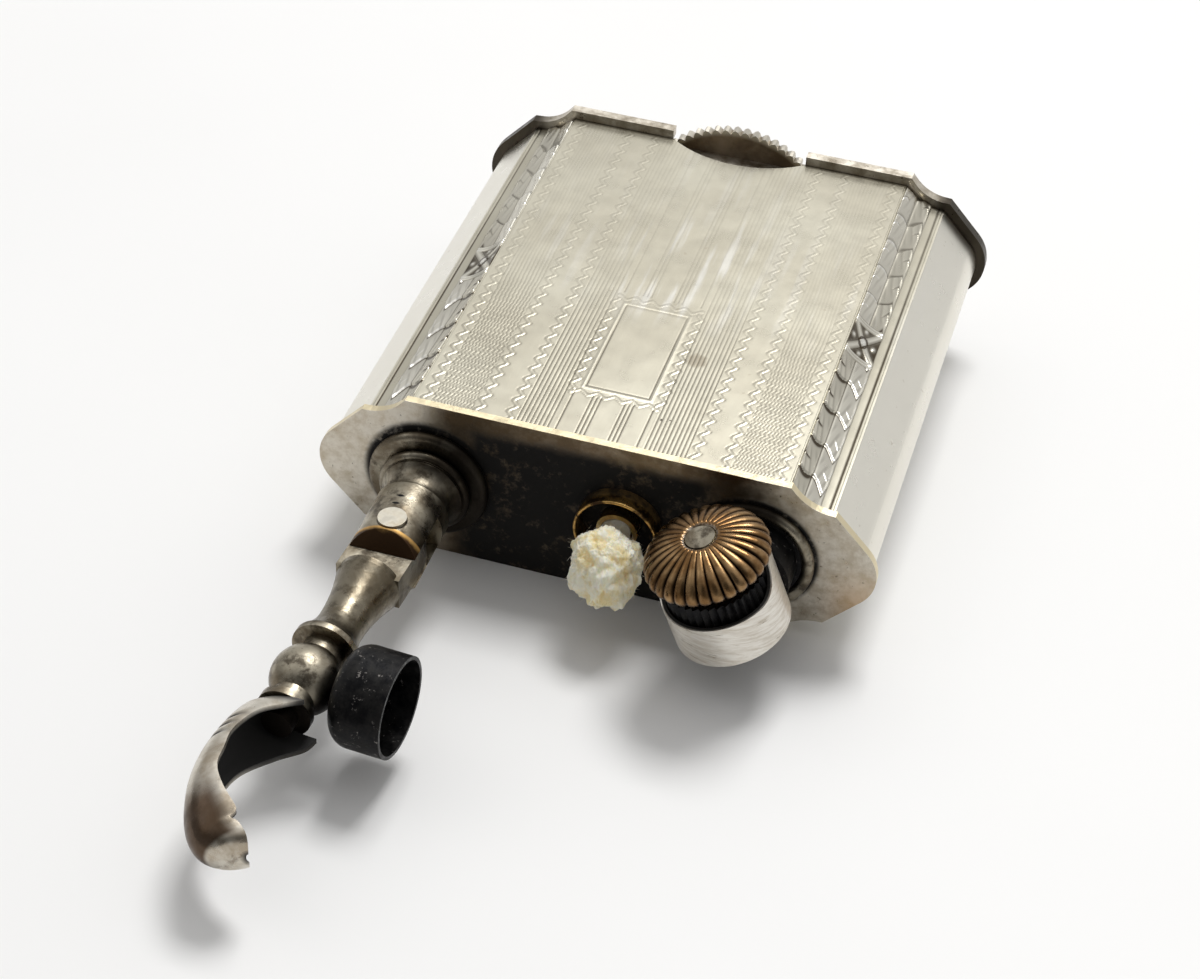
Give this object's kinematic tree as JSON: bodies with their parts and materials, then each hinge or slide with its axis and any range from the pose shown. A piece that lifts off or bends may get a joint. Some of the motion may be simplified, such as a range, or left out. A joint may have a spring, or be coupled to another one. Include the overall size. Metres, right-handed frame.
{
  "type": "lift arm lighter",
  "caption": "Pocket petrol lighter lying open on its back: engraved case with fluted strips, hinged snuffer arm with finger lift, wick in a wind guard, fluted thumb dome over a flint wheel.",
  "frame": {"origin": "middle of the case's flat back face", "axes": "+Z out of the engraved front face; +X from the arm's hinge to the striker; -Y out of the top end, +Y out of the base end"},
  "size_m": [0.0404, 0.0753, 0.0155],
  "materials": {
    "engraved_nickel": "warm nickel silver, engine turned, satin with soft wear",
    "plate_nickel": "nickel silver with brown tarnish and soot",
    "turned_nickel": "polished nickel silver with dark tarnish in the hollows",
    "satin_nickel": "satin, finely scratched",
    "brown_nickel": "dark brown tarnish",
    "black_steel": "blackened by soot, pale specks where worn",
    "brass": "plain turned",
    "sooted_brass": "browned rim, black with soot inside",
    "brown_brass": "brown tarnish, bright on the ridges, dark in the valleys",
    "spring_steel": "plain",
    "flint": "matte",
    "leather": "oiled",
    "cotton": "loose cotton",
    "wick_cord": "twisted cotton cord",
    "wick_tuft": "frayed cotton, cream"
  },
  "bodies": {
    "case": {"case_shell": "engraved_nickel", "top_plate": "plate_nickel", "base_plate": "plate_nickel", "filler_bush": "brass", "cotton_wadding": "cotton", "wick": "wick_cord", "wick_tube": "brass", "wick_guard": "sooted_brass", "wick_tuft": "wick_tuft", "hinge_collar": "turned_nickel", "hinge_post": "turned_nickel", "hinge_rivet": "turned_nickel", "plunger_spring": "spring_steel", "striker_collar": "turned_nickel", "striker_boss": "black_steel", "wheel_housing": "satin_nickel", "wheel_axle": "turned_nickel", "flint_tube": "brass"},
    "arm": {"arm_stem": "turned_nickel", "arm_knuckle": "turned_nickel", "snuffer_stud": "black_steel", "snuffer_cap": "black_steel", "finger_lift": "turned_nickel"},
    "wheel": {"flint_wheel": "black_steel", "thumb_dome": "brown_brass"},
    "plunger": {"arm_plunger": "spring_steel"},
    "filler_seal": {"filler_washer": "leather"},
    "filler": {"filler_screw": "brown_nickel"},
    "flint_stack": {"flint": "flint", "flint_follower": "brass"},
    "feed_spring": {"flint_spring": "spring_steel"},
    "flint_plug": {"flint_screw": "brass"}
  },
  "joints": [
    {"name": "arm_lift", "type": "hinge", "parent": "case", "child": "arm", "pos_m": [-0.01165, -0.02685, 0.00597], "axis": [0, 0, 1], "range_deg": [0, 91.5]},
    {"name": "wheel_spin", "type": "hinge", "parent": "case", "child": "wheel", "pos_m": [0.0106, -0.0248, 0.00692], "axis": [-0.3101, -0.1201, 0.9431], "continuous": true},
    {"name": "plunger_travel", "type": "slide", "parent": "case", "child": "plunger", "axis": [0, 1, 0], "range_m": [0, 0.0003], "stiffness_N_per_m": 300, "springref_m": -0.002, "deforming": ["plunger_spring"]},
    {"name": "filler_travel", "type": "slide", "parent": "case", "child": "filler_seal", "axis": [0, 1, 0], "range_m": [0, 0.003]},
    {"name": "filler_turn", "type": "hinge", "parent": "filler_seal", "child": "filler", "pos_m": [0, 0.01855, 0.00597], "axis": [0, 1, 0], "range_deg": [0, 2160]},
    {"name": "flint_screw_travel", "type": "slide", "parent": "case", "child": "feed_spring", "axis": [0, 1, 0], "range_m": [0, 0.004]},
    {"name": "flint_screw_turn", "type": "hinge", "parent": "feed_spring", "child": "flint_plug", "pos_m": [0.01046, 0.01855, 0.00733], "axis": [0, 1, 0], "range_deg": [0, 2880]},
    {"name": "flint_feed", "type": "slide", "parent": "case", "child": "flint_stack", "axis": [0, 1, 0], "range_m": [0, 0.0008], "stiffness_N_per_m": 20, "springref_m": -0.02, "deforming": ["flint_spring"]}
  ],
  "couplings": [
    {"joint": "filler_turn", "follows": "filler_travel", "rad_per_m": 12566},
    {"joint": "flint_screw_turn", "follows": "flint_screw_travel", "rad_per_m": 12566}
  ]
}
